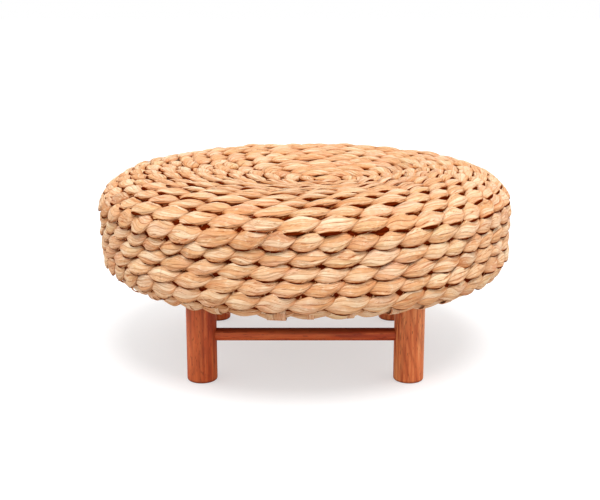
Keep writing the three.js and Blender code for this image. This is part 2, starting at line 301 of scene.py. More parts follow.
def leaf_folds(seed, phase, leaf_angle):
    """Height of the folded leaf over its strand, from 0 in a crease to 1 on a fold, new for each lobe."""
    shake = FOLD_SHAKE * smooth_noise(seed, length, FOLD_SHAKE_REACH)[:, None]
    place = leaf_angle * FOLDS_ROUND / (2 * math.pi)
    place = place + FOLD_UNEVENNESS * np.sin(place * FOLD_UNEVENNESS_RATE + shake)
    fold = np.floor(place).astype(int)
    t = place - fold
    random = np.random.default_rng(seed + 1)
    size = (lobe_count(phase), FOLD_TABLE)
    crest, depth = random.uniform(*CREST_PLACES, size), random.uniform(*CREASE_DEPTHS, size)
    lobe, share = (values[:, None] for values in lobe_share(phase))
    heights = []
    for n in (0, 1):
        top = crest[lobe + n, fold % FOLD_TABLE]
        slope = np.where(t < top, t / top, (1 - t) / (1 - top))
        fall = 1 - np.sin(slope * math.pi / 2)**FOLD_ROUNDNESS
        heights.append(1 - depth[lobe + n, fold % FOLD_TABLE] * fall)
    return heights[0] * (1 - share) + heights[1] * share


# %% The brown leaves of the photograph
BROWN_LEAVES = {(116, 202): -0.5, (108, 205): -0.3, (250, 237): -0.15, (268, 243): -0.25, (477, 259): -0.4,
                (490, 266): -0.2, (400, 162): -0.3, (316, 291): 0.05, (330, 206): 0.02, (147, 240): 0.0}
TONE_SHAPE = (1.6, 1.4)


def picture_place(points):
    """Where points in metres fall in the 600 by 500 picture."""
    tilt = math.radians(CAMERA_TILT_DEG)
    offset = points - np.array(CAMERA_PLACE)
    distance = offset @ np.array([0, math.cos(tilt), -math.sin(tilt)])
    raised = offset @ np.array([0, math.sin(tilt), math.cos(tilt)])
    return np.stack([IMAGE_WIDTH_PX / 2 + FOCAL_PX * offset[:, 0] / distance,
                     IMAGE_HEIGHT_PX / 2 - FOCAL_PX * raised / distance], 1)


def lobe_at(place):
    """The strand and the lobe that show at a place in the picture."""
    faces = middle + outward * ROPE_THICKNESS / 2
    seen = ((np.array(CAMERA_PLACE) - faces) * outward).sum(1) > 0
    far = np.where(seen, np.hypot(*(picture_place(faces) - place).T), np.inf)
    phases = [lay_turns[int(np.argmin(far))] + n / STRANDS for n in range(STRANDS)]
    strand = int(np.argmin([abs(phase - round(phase)) for phase in phases]))
    return strand, round(phases[strand])


brown_lobes = [(*lobe_at(place), tone) for place, tone in BROWN_LEAVES.items()]


def lobe_tones(seed, strand, phase):
    """Each lobe's leaf tone from 0 to 1, as a column, darker at the photograph's brown leaves."""
    table = np.random.default_rng(seed).beta(*TONE_SHAPE, lobe_count(phase))
    for chosen, lobe, tone in brown_lobes:
        if chosen == strand:
            table[lobe] = tone
    return blend_lobes(table, phase)[:, None]


print("brown lobes:", [(strand, int(lobe)) for strand, lobe, tone in brown_lobes])

# %% How one strand lies
SECTION_POINTS = 40
SECTION_CROWDING = 0.55
STRAND_REACH = 4.2 * MM
NECK_HALF_WIDTH = 3.4 * MM
LOBE_HALF_WIDTH = 11.5 * MM
NECK_HALF_DEPTH = 3.5 * MM
LOBE_HALF_DEPTH = 5.1 * MM
WIDTH_SHARES = (0.84, 1.1)
DEPTH_SHARES = (0.8, 1.2)
REACH_SHARES = (0.88, 1.12)
FACING_SHIFTS = (-0.14, 0.14)
LOBE_BLUNTNESS = 1.75
LOBE_TURNOVER = 4.5
LOBE_FRONT_SHARE = 0.335
LEAN = 0.14


def section_angles():
    """Angles round a strand's section, closer together on the side that shows."""
    even = 2 * math.pi * np.arange(SECTION_POINTS) / SECTION_POINTS
    return even - SECTION_CROWDING * np.sin(even - math.pi / 2)


def strand_lay(seed, phase):
    """A strand's turn round the rope, the way it faces, its half sizes, reach and swelling, and how far
    each station is from a lobe's middle, all as columns."""
    ahead = np.where(phase < np.round(phase), -1.0, 1.0)[:, None]
    turned = np.abs(phase - np.round(phase))[:, None]
    # 0 is where the strand faces out, a quarter is the rope's edge, and a half is behind the rope.
    away = np.interp(turned, (0, LOBE_FRONT_SHARE, 0.5), (0, 0.25, 0.5))
    from_lobe = 4 * np.minimum(away, 0.5 - away)
    swelling = 1 - from_lobe**LOBE_BLUNTNESS
    wider = (LOBE_HALF_WIDTH - NECK_HALF_WIDTH) * swelling * lobe_values(seed, phase, *WIDTH_SHARES)
    deeper = (LOBE_HALF_DEPTH - NECK_HALF_DEPTH) * swelling * lobe_values(seed + 1, phase, *DEPTH_SHARES)
    reach = STRAND_REACH * lobe_values(seed + 2, phase, *REACH_SHARES)
    turn = math.pi / 2 - 2 * math.pi * ahead * away
    turned_over = np.where(away < 0.25, (4 * away)**LOBE_TURNOVER, 2 - (2 - 4 * away)**LOBE_TURNOVER)
    facing = math.pi / 2 * (1 - turned_over * ahead) + lobe_values(seed + 3, phase, *FACING_SHIFTS) - LEAN
    half_width = (NECK_HALF_WIDTH + wider) * spread[:, None]
    return turn, facing, half_width, NECK_HALF_DEPTH + deeper, reach, swelling, from_lobe


# %% Painted shade in the gaps and on the lower flanks
LOWER_FLANK_FROM = 0.66
UPPER_FLANK_FROM = 0.5
FLANK_FROM_ON_TOP = 0.06
BEND_EASING = 0.6
GAP_HALF_DEPTH = 4.4 * MM
GAP_HALF_DEPTH_ON_TOP = 3.0 * MM
LOWER_FLANK_SHADE = 0.42
ROW_EDGE = 9.2 * MM
ROW_EDGE_FADE = 1.8 * MM
NECK_SHADE = 0.45
NECK_SHADE_POWER = 3


def gap_shade(angle, facing, half_width, half_depth, radial, raised, from_lobe):
    """How much painted shade each place on a strand gets, from 0 in the open to 1 in a gap: by the slope of
    its face, its depth in the row, its flank, the row's lower edge and the neck between lobes."""
    across_depth, across_width = np.sin(angle) / half_depth, np.cos(angle) / half_width
    slope = np.hypot(across_depth, across_width)
    outlook = np.abs(np.sin(facing) * across_depth + np.cos(facing) * across_width) / slope
    downwards = np.sin(facing) * across_width - np.cos(facing) * across_depth
    easing = 1 - BEND_EASING * bend[:, None]
    flank_from = np.where(downwards > 0, LOWER_FLANK_FROM, UPPER_FLANK_FROM) + FLANK_FROM_ON_TOP * level
    flank_from = flank_from * easing
    gap = (GAP_HALF_DEPTH + GAP_HALF_DEPTH_ON_TOP * level) * easing
    shade = np.maximum(1 - outlook / flank_from, 1 - np.abs(raised) / gap)
    shade = np.maximum(shade, LOWER_FLANK_SHADE * np.clip(downwards / slope, 0, 1))
    shade = np.maximum(shade, (-radial - ROW_EDGE * spread[:, None]) / ROW_EDGE_FADE)
    return np.clip(np.maximum(shade, NECK_SHADE * from_lobe**NECK_SHADE_POWER), 0, 1)


# %% A whole strand's surface
FOLD_HEIGHT = 1.8 * MM
FOLD_MIDDLE = 0.8
NECK_FOLD_SHARE = 0.3
LEAF_UNTWIST = 0.3
LEAF_WANDER = 0.3
LEAF_WANDER_REACH = 25 * MM
ROW_DRIFT = 1.1 * MM
ROW_DRIFT_REACH = 60 * MM
WALL_LIFT = 0.6 * MM
TOP_LIFT = 0.7 * MM
LIFT_REACH = 45 * MM
LOBE_LIFTS = (-0.8 * MM, 0.8 * MM)
FLATTENING = ROPE_THICKNESS / ROPE_WIDTH


def strand_surface(strand):
    """Vertices and leaf attributes of one whole strand, one ring of section points for each station."""
    seed = 100 * (strand + 1)
    phase = lay_turns + strand / STRANDS
    turn, facing, half_width, half_depth, reach, swelling, from_lobe = strand_lay(seed, phase)
    angle = section_angles()[None, :] + 0 * length[:, None]
    leaf_angle = angle + LEAF_UNTWIST * 2 * math.pi * lay_turns[:, None]
    leaf_angle += LEAF_WANDER * smooth_noise(seed + 4, length, LEAF_WANDER_REACH)[:, None]
    height = leaf_folds(seed + 5, phase, leaf_angle)
    puff = (height - FOLD_MIDDLE) * FOLD_HEIGHT * (NECK_FOLD_SHARE + (1 - NECK_FOLD_SHARE) * swelling)
    depth_part = (half_depth + puff) * np.sin(angle)
    width_part = (half_width + puff) * np.cos(angle)
    radial = np.cos(turn) * reach + np.cos(facing) * depth_part - np.sin(facing) * width_part
    raised = np.sin(turn) * reach + np.sin(facing) * depth_part + np.cos(facing) * width_part
    lift = (WALL_LIFT + TOP_LIFT * level) * smooth_noise(LIFT_SEED, length, LIFT_REACH)[:, None]
    lift += level * lobe_values(seed + 6, phase, *LOBE_LIFTS)
    drift = ROW_DRIFT * smooth_noise(DRIFT_SEED, length, ROW_DRIFT_REACH)[:, None]
    across = radial * row_share[:, None] + drift
    rise = raised * FLATTENING + lift - overlap[:, None] * across
    points = (middle[:, None, :] + across[:, :, None] * sideways[:, None, :]
              + rise[:, :, None] * outward[:, None, :])
    tone = lobe_tones(seed + 7, strand, phase) + 0 * angle
    shade = gap_shade(angle, facing, half_width, half_depth, radial, raised, from_lobe)
    return points, tone, 1 - height, shade, leaf_angle


# %% A tube through rings of points
WELD_DISTANCE = 0.001 * MM


def weld(mesh):
    """Merge the corners that lie on each other, where a tube meets its own start."""
    shape = bmesh.new()
    shape.from_mesh(mesh)
    bmesh.ops.remove_doubles(shape, verts=shape.verts, dist=WELD_DISTANCE)
    shape.to_mesh(mesh)
    shape.free()


def mesh_from_rings(name, rings, attributes, uv, closed=False):
    """A tube through rings of points, with attributes and a leaf map, capped or with its ends welded."""
    count, sides = rings.shape[:2]
    vertices = rings.reshape(-1, 3)
    i, j = np.meshgrid(np.arange(count - 1), np.arange(sides), indexing="ij")
    a = i * sides + j
    b = i * sides + (j + 1) % sides
    quads = np.stack([a, b, b + sides, a + sides], -1).reshape(-1, 4)
    mesh = bpy.data.meshes.new(name)
    faces = quads.tolist()
    if not closed:
        faces += [list(range(sides))[::-1], list(range((count - 1) * sides, count * sides))]
    mesh.from_pydata(vertices.tolist(), [], faces)
    for key, values in attributes.items():
        layer = mesh.attributes.new(key, "FLOAT", "POINT")
        layer.data.foreach_set("value", values.reshape(-1).astype(np.float32))
    loops = np.empty(len(mesh.loops), int)
    mesh.loops.foreach_get("vertex_index", loops)
    coordinates = uv.reshape(-1, 2)[loops]
    layer = mesh.uv_layers.new(name="leaf")
    layer.data.foreach_set("uv", coordinates.reshape(-1).astype(np.float32))
    mesh.polygons.foreach_set("use_smooth", [True] * len(mesh.polygons))
    if closed:
        weld(mesh)
    piece = bpy.data.objects.new(name, mesh)
    bpy.context.scene.collection.objects.link(piece)
    return piece


# %% Sweep both strands, in stretches that stay light enough to export whole
STRETCHES = 5
rope_pieces = []
for strand in range(STRANDS):
    points, tone, crease, shade, leaf_angle = strand_surface(strand)
    run_map = np.repeat(length[:, None], SECTION_POINTS, 1)
    round_map = leaf_angle * (LOBE_HALF_WIDTH + LOBE_HALF_DEPTH) / 2
    limits = np.linspace(0, len(length) - 1, STRETCHES + 1).astype(int)
    for n in range(STRETCHES):
        part = slice(limits[n], limits[n + 1] + 1)
        piece = mesh_from_rings(
            f"rope_strand_{strand + 1}_stretch_{n + 1}", points[part],
            {"tone": tone[part], "crease": crease[part], "painted_shade": shade[part]},
            np.stack([run_map[part], round_map[part]], -1))
        rope_pieces.append(piece)
print("rope pieces:", len(rope_pieces), "faces:", sum(len(p.data.polygons) for p in rope_pieces))

# %% [markdown]
# ## Under the strands
# Real strands are imported solid, and two swept tubes leave slits between them. A plain core of packed leaf
# runs inside the rope and closes those slits; it is coloured with painted shade, so the slits show dark.
# Below the eye a flat wad of leaf fills the hole that the curl leaves, as a weaver packs it so that the seat
# doesn't sink there, and it carries half the painted shade. Both are simple tubes of rings, with a gentle
# wave so that no edge is straight.

# %% The core under the strands
CORE_POINTS = 14
CORE_EVERY = 2
CORE_HALF_WIDTH = 10.4 * MM
CORE_HALF_DEPTH = 3.4 * MM
CORE_SINK = 0.4 * MM
CORE_WAVE = 0.1
CORE_WAVES_ROUND = 3
CORE_WAVE_TWIST = 1.3
CORE_MAP_STEP = 3 * MM
CORE_TONE = 0.3
CORE_FRONT_SHADE = 1.0
CORE_BACK_SHADE = 0.3
CORE_BACK_FROM = -0.3

core_angle = 2 * math.pi * np.arange(CORE_POINTS)[None, :] / CORE_POINTS
every = slice(None, None, CORE_EVERY)


def core_surface():
    """A plain flattened tube of packed leaf within the two strands, which closes the gaps between them and
    carries painted shade.
    """
    twist = 2 * math.pi * CORE_WAVE_TWIST * lay_turns[every, None]
    wave = 1 + CORE_WAVE * np.sin(core_angle * CORE_WAVES_ROUND + twist)
    across = CORE_HALF_WIDTH * wave * np.cos(core_angle) * row_share[every, None]
    rise = CORE_HALF_DEPTH * wave * np.sin(core_angle) - CORE_SINK - overlap[every, None] * across
    return (middle[every, None, :] + across[:, :, None] * sideways[every, None, :]
            + rise[:, :, None] * outward[every, None, :])


core_rings = core_surface()
flat = np.zeros(core_rings.shape[:2])
# The core's outer face is painted in full shade and its back in less, so the slits between strands show dark.
core_shade = flat + np.where(np.sin(core_angle) < CORE_BACK_FROM, CORE_BACK_SHADE, CORE_FRONT_SHADE)
core_map = np.stack([flat + length[every, None], flat + np.arange(CORE_POINTS) * CORE_MAP_STEP], -1)
core = mesh_from_rings("rope_core", core_rings,
                       {"tone": flat + CORE_TONE, "crease": flat, "painted_shade": core_shade}, core_map)
rope_pieces.append(core)
print("core faces:", len(core.data.polygons))

# %% The packing under the eye
PACKING_RADIUS = 32 * MM
PACKING_BOTTOM = 219 * MM
PACKING_TOP = 229 * MM
PACKING_STEPS = 16
PACKING_SIDES = 48
PACKING_WAVE, PACKING_WAVES_ROUND = 0.04, 5
PACKING_BULGE, PACKING_BULGES_ROUND = 0.03, 3
PACKING_TONE = 0.5
# The packing lies under the rope, so it is painted with half shade.
PACKING_SHADE = 0.5

rise = np.linspace(-math.pi / 2, math.pi / 2, PACKING_STEPS + 2)[1:-1, None]
turn = np.linspace(0, 2 * math.pi, PACKING_SIDES, endpoint=False)[None, :]
wave = PACKING_WAVE * np.sin(PACKING_WAVES_ROUND * turn)
bulge = PACKING_BULGE * np.cos(PACKING_BULGES_ROUND * turn)
reach = PACKING_RADIUS * (1 + wave + bulge) * np.cos(rise)
packing_z = (PACKING_BOTTOM + PACKING_TOP) / 2 + (PACKING_TOP - PACKING_BOTTOM) / 2 * np.sin(rise)
packing_rings = np.stack([EYE_SHIFT + reach * np.cos(turn), reach * np.sin(turn), packing_z + 0 * turn], -1)
flat = np.zeros(packing_rings.shape[:2])
packing = mesh_from_rings("eye_packing", packing_rings,
                          {"tone": flat + PACKING_TONE, "crease": flat, "painted_shade": flat + PACKING_SHADE},
                          packing_rings[:, :, :2])
rope_pieces.append(packing)
print("packing faces:", len(packing.data.polygons))

# %% [markdown]
# ## Dry leaf
# Water plant leaf dries to pale straw with ochre, pink and brown in it. Fine fibres run along each leaf,
# and painted shade darkens the folds and hidden parts. The colour reads each strand's own map and
# attributes, so it follows the leaf round every bend. These helpers keep a node material as short as its
# recipe.

# %% Small helpers for node materials
def start_material(name, roughness):
    """A new material and its shader, with one roughness all over."""
    material = bpy.data.materials.new(name)
    material.use_nodes = True
    shader = material.node_tree.nodes["Principled BSDF"]
    shader.inputs["Roughness"].default_value = roughness
    return material, shader


def add_node(material, kind, inputs=None, **settings):
    """A node with its settings and unlinked input values."""
    node = material.node_tree.nodes.new(kind)
    for key, value in settings.items():
        setattr(node, key, value)
    for key, value in (inputs or {}).items():
        node.inputs[key].default_value = value
    return node


def join(material, source, target):
    """A link from an output to an input."""
    material.node_tree.links.new(source, target)


def stretched_noise(material, coordinates, scale, detail=3.0, roughness=0.55, offset=(0, 0, 0)):
    """A noise whose grain is drawn out by different scales along each axis."""
    mapping = add_node(material, "ShaderNodeMapping", {"Scale": scale, "Location": offset})
    noise = add_node(material, "ShaderNodeTexNoise",
                     {"Scale": 1.0, "Detail": detail, "Roughness": roughness})
    join(material, coordinates, mapping.inputs["Vector"])
    join(material, mapping.outputs["Vector"], noise.inputs["Vector"])
    return noise.outputs["Fac"]


def ramp_colours(material, factor, stops):
    """A colour ramp with the given stops, each a place and a colour."""
    ramp = add_node(material, "ShaderNodeValToRGB")
    elements = ramp.color_ramp.elements
    for extra in range(len(stops) - 2):
        elements.new(0.5)
    for element, (place, colour) in zip(elements, stops):
        element.position = place
        element.color = (*colour, 1)
    join(material, factor, ramp.inputs["Fac"])
    return ramp.outputs["Color"]


def mix_colours(material, factor, first, second, mode="MIX"):
    """Two colours, values or sockets, mixed by a factor that is a socket or a number."""
    mix = add_node(material, "ShaderNodeMix", data_type="RGBA", blend_type=mode)
    # A mix node has sockets for numbers and vectors too: its colours come in at 6 and 7 and leave at 2.
    for socket, value in ((mix.inputs[0], factor), (mix.inputs[6], first), (mix.inputs[7], second)):
        if isinstance(value, bpy.types.NodeSocket):
            join(material, value, socket)
        else:
            socket.default_value = value if isinstance(value, (int, float)) else (*value, 1)
    return mix.outputs[2]


def scaled(material, value, low, high, to_low=0.0, to_high=1.0):
    """A value stretched from one range to another and held there."""
    node = add_node(material, "ShaderNodeMapRange", {"From Min": low, "From Max": high,
                                                     "To Min": to_low, "To Max": to_high})
    join(material, value, node.inputs["Value"])
    return node.outputs["Result"]


def bump(material, shader, height, strength, distance, below=None):
    """A bump on a shader, of a height pattern and a distance in metres, laid over the bump below it."""
    node = add_node(material, "ShaderNodeBump", {"Strength": strength, "Distance": distance})
    join(material, height, node.inputs["Height"])
    if below is not None:
        join(material, below, node.inputs["Normal"])
    join(material, node.outputs["Normal"], shader.inputs["Normal"])
    return node.outputs["Normal"]


# %% [markdown]
# ## Blades and colours of the leaf
# Each strand is a bundle of long narrow blades folded together. The mesh carries the big folds, and the
# material draws the single blades: the place across the strand is cut into strips of one blade's width
# that sway along their length, and each strip gets a paler or darker colour of its own and a thin edge in
# its bump. Over that lie ochre and pink patches, fibres, veins and a few specks. Each layer below is a
# pattern, the range in which it shows and how strongly, and its colour. The last three multiply painted
# shade into the folds and gaps without hiding what lies under them.

# %% Blades side by side on each strand
BLADE_WIDTH = 4.8 * MM
BLADE_SWAY = 2.4


def blades(material, coordinates):
    """The place across each blade from 0 to 1, and each blade's own value."""
    place = add_node(material, "ShaderNodeSeparateXYZ")
    join(material, coordinates, place.inputs[0])
    bending = stretched_noise(material, coordinates, (26, 70, 1), 1.0, offset=(7, 3, 0))
    across = add_node(material, "ShaderNodeMath", {1: 1 / BLADE_WIDTH}, operation="MULTIPLY_ADD")
    join(material, place.outputs["Y"], across.inputs[0])
    join(material, scaled(material, bending, 0, 1, 0, BLADE_SWAY), across.inputs[2])
    share = add_node(material, "ShaderNodeMath", operation="FRACT")
    number = add_node(material, "ShaderNodeMath", operation="FLOOR")
    pair = add_node(material, "ShaderNodeCombineXYZ")
    join(material, across.outputs[0], share.inputs[0])
    join(material, across.outputs[0], number.inputs[0])
    join(material, place.outputs["X"], pair.inputs["X"])
    join(material, number.outputs[0], pair.inputs["Y"])
    return share.outputs[0], stretched_noise(material, pair.outputs["Vector"], (16, 5.7, 1), 1.0)


# %% The leaf's patterns
LEAF_ROUGHNESS = 0.62
leaf, leaf_shader = start_material("dry_leaf", LEAF_ROUGHNESS)
leaf_map = add_node(leaf, "ShaderNodeUVMap", uv_map="leaf").outputs["UV"]
tone, crease, painted_shade = (add_node(leaf, "ShaderNodeAttribute", attribute_name=name).outputs["Fac"]
                        for name in ("tone", "crease", "painted_shade"))
fibres = stretched_noise(leaf, leaf_map, (18, 900, 1), 4.0)
veins = stretched_noise(leaf, leaf_map, (12, 330, 1), 2.0, offset=(3, 7, 0))
patches = stretched_noise(leaf, leaf_map, (22, 90, 1), 3.0, offset=(11, 2, 0))
blush = stretched_noise(leaf, leaf_map, (16, 55, 1), 2.0, offset=(2, 13, 0))
mottle = stretched_noise(leaf, leaf_map, (170, 330, 1), 3.0, offset=(5, 8, 0))
specks = stretched_noise(leaf, leaf_map, (240, 900, 1), 2.0, offset=(5, 5, 0))
blade_share, blade_value = blades(leaf, leaf_map)
print("leaf pattern nodes:", len(leaf.node_tree.nodes))

# %% The leaf's colours
LEAF_SPECULAR = 0.12
LEAF_TONES = [
    (0.0, (0.43, 0.14, 0.04)), (0.33, (0.73, 0.365, 0.17)), (0.45, (0.80, 0.45, 0.23)),
    (0.7, (0.86, 0.54, 0.31)), (0.85, (0.90, 0.62, 0.385)), (1.0, (0.88, 0.52, 0.33))]
leaf_layers = [
    (patches, (0.5, 0.75, 0, 0.65), (0.70, 0.33, 0.11), "MIX"),
    (blush, (0.52, 0.7, 0, 0.55), (0.83, 0.44, 0.31), "MIX"),
    (blush, (0.48, 0.3, 0, 0.5), (0.80, 0.62, 0.30), "MIX"),
    (mottle, (0.52, 0.68, 0, 0.6), (0.72, 0.36, 0.17), "MIX"),
    (mottle, (0.48, 0.34, 0, 0.5), (0.95, 0.81, 0.58), "MIX"),
    (blade_value, (0.48, 0.64, 0, 0.6), (0.94, 0.77, 0.55), "MIX"),
    (blade_value, (0.5, 0.34, 0, 0.6), (0.70, 0.33, 0.14), "MIX"),
    (fibres, (0.3, 0.62, 0.5, 0), (0.55, 0.29, 0.13), "MIX"),
    (fibres, (0.6, 0.8, 0, 0.6), (0.89, 0.75, 0.55), "MIX"),
    (veins, (0.37, 0.44, 0.36, 0), (0.36, 0.14, 0.05), "MIX"),
    (blade_share, (0.84, 1.0, 0, 0.7), (0.56, 0.27, 0.12), "MULTIPLY"),
    (specks, (0.68, 0.8, 0, 0.5), (0.36, 0.17, 0.07), "MIX"),
    # Painted shade: the crease layer darkens the folds, and the last two layers darken gaps, lower flanks and
    # necks.
    (crease, (0.3, 0.75, 0, 0.95), (0.64, 0.32, 0.15), "MULTIPLY"),
    (painted_shade, (0.0, 0.6, 0, 1.0), (0.88, 0.48, 0.22), "MULTIPLY"),
    (painted_shade, (0.25, 0.75, 0, 1.0), (0.19, 0.055, 0.018), "MULTIPLY")]
leaf_colour = ramp_colours(leaf, scaled(leaf, tone, -0.5, 1.0), LEAF_TONES)
for pattern, strength, colour, mode in leaf_layers:
    leaf_colour = mix_colours(leaf, scaled(leaf, pattern, *strength), leaf_colour, colour, mode)
join(leaf, leaf_colour, leaf_shader.inputs["Base Color"])
leaf_gloss = scaled(leaf, painted_shade, 0.0, 0.5, LEAF_SPECULAR, 0.0)
join(leaf, leaf_gloss, leaf_shader.inputs["Specular IOR Level"])
print("leaf layers:", len(leaf_layers))

# %% The leaf's relief
BLADE_RELIEF = 0.7 * MM
VEIN_RELIEF = 1.2 * MM
FIBRE_RELIEF = 0.5 * MM

edges = bump(leaf, leaf_shader, blade_share, 0.8, BLADE_RELIEF)
coarse = bump(leaf, leaf_shader, veins, 0.8, VEIN_RELIEF, edges)
bump(leaf, leaf_shader, fibres, 0.9, FIBRE_RELIEF, coarse)


def finish_rope_piece(piece):
    """Put the leaf on a piece of the winding and hand it to the frame."""
    piece.data.materials.append(leaf)
    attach(piece, "root")
    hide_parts("rope_winding")


for piece in rope_pieces:
    finish_rope_piece(piece)
print("leaf nodes:", len(leaf.node_tree.nodes))

# %% [markdown]
# ## Modelling tools
# The wooden pieces are made as a person would make them in Blender: a primitive is added at its size, its
# faces and edges are picked by their place, and edit-mode operators and modifiers shape them. These
# helpers pick, shape and finish, so that each piece below reads as its own few steps.

# %% Pick and shape
EDGE_TOLERANCE = 0.1 * MM
SMOOTH_ANGLE_DEG = 35
WIDE_HOLE_SIDES, NARROW_HOLE_SIDES = 48, 24


def start_piece(name):
    """The primitive just added, named and opened for editing."""
    piece = bpy.context.object
    piece.name = piece.data.name = name
    bpy.ops.object.mode_set(mode="EDIT")
    bpy.ops.mesh.select_all(action="DESELECT")
    return piece


def pick(piece, kind, test):
    """Select the open piece's faces or edges whose every corner passes a test of its place in metres."""
    shape = bmesh.from_edit_mesh(piece.data)
    bpy.ops.mesh.select_mode(type="FACE" if kind == "faces" else "EDGE")
    for part in getattr(shape, kind):
        part.select_set(all(test(piece.matrix_world @ corner.co) for corner in part.verts))
    shape.select_flush_mode()
    bmesh.update_edit_mesh(piece.data)


def round_picked(width, steps):
    """Bevel the picked edges and let them go."""
    bpy.ops.mesh.bevel(offset=width, segments=steps, affect="EDGES", profile=0.5)
    bpy.ops.mesh.select_all(action="DESELECT")


def close_piece(piece, material, node):
    """Leave edit mode, put the place into the mesh, shade it smooth and hand it to the frame."""
    if piece.mode == "EDIT":
        bpy.ops.object.mode_set(mode="OBJECT")
    bpy.ops.object.select_all(action="DESELECT")
    piece.select_set(True)
    bpy.context.view_layer.objects.active = piece
    bpy.ops.object.transform_apply(location=True, rotation=True, scale=True)
    bpy.ops.object.shade_smooth_by_angle(angle=math.radians(SMOOTH_ANGLE_DEG))
    piece.data.materials.clear()
    piece.data.materials.append(material)
    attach(piece, "root")
    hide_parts(node)


def bore(piece, radius, depth, place, rotation=(0, 0, 0), sides=WIDE_HOLE_SIDES):
    """Cut a round hole with a cylinder, through a boolean modifier that is applied."""
    if piece.mode == "EDIT":
        bpy.ops.object.mode_set(mode="OBJECT")
    bpy.ops.object.select_all(action="DESELECT")
    bpy.ops.mesh.primitive_cylinder_add(vertices=sides, radius=radius, depth=depth,
                                        location=place, rotation=rotation)
    cutter = bpy.context.object
    modifier = piece.modifiers.new("bore", "BOOLEAN")
    modifier.object = cutter
    modifier.solver = "EXACT"
    bpy.context.view_layer.objects.active = piece
    bpy.ops.object.modifier_apply(modifier="bore")
    bpy.data.objects.remove(cutter, do_unlink=True)


# %% [markdown]
# ## Stained wood
# The legs and rails are turned dowels with a reddish-brown stain and a satin finish. Long grain shows as
# darker and paler streaks, open pores as short dark flecks, and where the log's rings cross the surface
# at a slant they draw long V shapes. The rings are distances from a pith line that leans through the
# wood, as in a real plank. A leg is darker at its foot, partly stain soaked into the end grain and partly
# painted contact shadow, and a rail is darker on its upper side with painted shadow from the seat above.

# %% Wood whose grain runs along one axis
QUARTER = math.pi / 2
ALONG_X, ALONG_Y, ALONG_Z = (0, QUARTER, 0), (QUARTER, 0, 0), (0, 0, 0)
PITH_LEAN = (0.12, 0.09, 0)
PITH_PLACE = (0.02, 0.013, 0)
RING_WANDER = 7.0
PORE_LIGHT = 0.35
STAIN_AND_SHADE_LIGHT = 0.5
WOOD_SPECULAR = 0.3
WOOD_RELIEF = 0.3 * MM


def leaning_rings(material, grain, ring_width):
    """The place within each growth ring from 0 to 1, round a pith line that leans and wanders."""
    wander = stretched_noise(material, grain, (22, 22, 7), 2.0)
    lean = add_node(material, "ShaderNodeMapping", {"Rotation": PITH_LEAN, "Location": PITH_PLACE})
    join(material, grain, lean.inputs["Vector"])
    flat = add_node(material, "ShaderNodeMapping", {"Scale": (1, 1, 0.0)})
    join(material, lean.outputs["Vector"], flat.inputs["Vector"])
    distance = add_node(material, "ShaderNodeVectorMath", operation="LENGTH")
    join(material, flat.outputs["Vector"], distance.inputs[0])
    turns = add_node(material, "ShaderNodeMath", {1: 1 / ring_width}, operation="MULTIPLY")
    join(material, distance.outputs["Value"], turns.inputs[0])
    shaken = add_node(material, "ShaderNodeMath", {1: RING_WANDER}, operation="MULTIPLY_ADD")
    join(material, wander, shaken.inputs[0])
    join(material, turns.outputs[0], shaken.inputs[2])
    ring = add_node(material, "ShaderNodeMath", {1: 1.0}, operation="PINGPONG")
    join(material, shaken.outputs[0], ring.inputs[0])
    return ring.outputs[0]


def darker(colour, share):
    """A colour with only a share of its light."""
    return tuple(share * value for value in colour)


def wood_material(name, along, shades, ring_width, roughness, pore_share=0.5, stain_and_shade=None):
    """Wood with rings, streaks and pores along one axis; shades go from darkest to palest. The last argument
    is two heights and the share of darker colour below the first and above the second: end grain stained
    darker with painted contact shadow at a leg's foot, or painted shadow from the seat along a rail's upper
    side."""
    material, shader = start_material(name, roughness)
    place = add_node(material, "ShaderNodeTexCoord").outputs["Object"]
    upright = add_node(material, "ShaderNodeMapping", {"Rotation": along}, vector_type="TEXTURE")
    join(material, place, upright.inputs["Vector"])
    grain = upright.outputs["Vector"]
    rings = leaning_rings(material, grain, ring_width)
    streaks = stretched_noise(material, grain, (230, 230, 14), 4.0)
    broad = stretched_noise(material, grain, (38, 38, 9), 3.0, offset=(4, 1, 2))
    pores = stretched_noise(material, grain, (700, 700, 110), 1.0, offset=(2, 9, 4))
    colour = ramp_colours(material, streaks, [(0.3, shades[0]), (0.5, shades[1]), (0.72, shades[2])])
    colour = mix_colours(material, scaled(material, rings, 0.55, 1.0, 0, 0.55), colour, shades[0])
    colour = mix_colours(material, scaled(material, broad, 0.4, 0.7, 0, 0.6), colour, shades[2])
    pore_strength = scaled(material, pores, 0.62, 0.70, 0, pore_share)
    colour = mix_colours(material, pore_strength, colour, darker(shades[0], PORE_LIGHT))
    # Darker colour by height: end grain stained darker with painted contact shadow at a leg's foot, painted
    # shadow from the seat on a rail's upper side.
    if stain_and_shade:
        height = add_node(material, "ShaderNodeSeparateXYZ")
        join(material, place, height.inputs[0])
        stain_and_shade_strength = scaled(material, height.outputs["Z"], *stain_and_shade)
        colour = mix_colours(material, stain_and_shade_strength, colour, darker(shades[0], STAIN_AND_SHADE_LIGHT))
    join(material, colour, shader.inputs["Base Color"])
    sheen = scaled(material, streaks, 0.3, 0.7, roughness + 0.07, roughness - 0.05)
    join(material, sheen, shader.inputs["Roughness"])
    shader.inputs["Specular IOR Level"].default_value = WOOD_SPECULAR
    bump(material, shader, streaks, 0.25, WOOD_RELIEF)
    return material


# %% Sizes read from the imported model
X, Y, Z = 0, 1, 2


def span(node, axis):
    """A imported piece's middle and its size along one axis."""
    low, high = (corner[axis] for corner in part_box(node))
    return (low + high) / 2, high - low


FRONT_RAIL_HEIGHT, RAIL_WIDTH = span("stretcher_front", Z)
SIDE_RAIL_HEIGHT = span("stretcher_right", Z)[0]
RAIL_RADIUS = RAIL_WIDTH / 2
print("rails in mm:", [round(size / MM, 2) for size in (RAIL_WIDTH, FRONT_RAIL_HEIGHT, SIDE_RAIL_HEIGHT)])
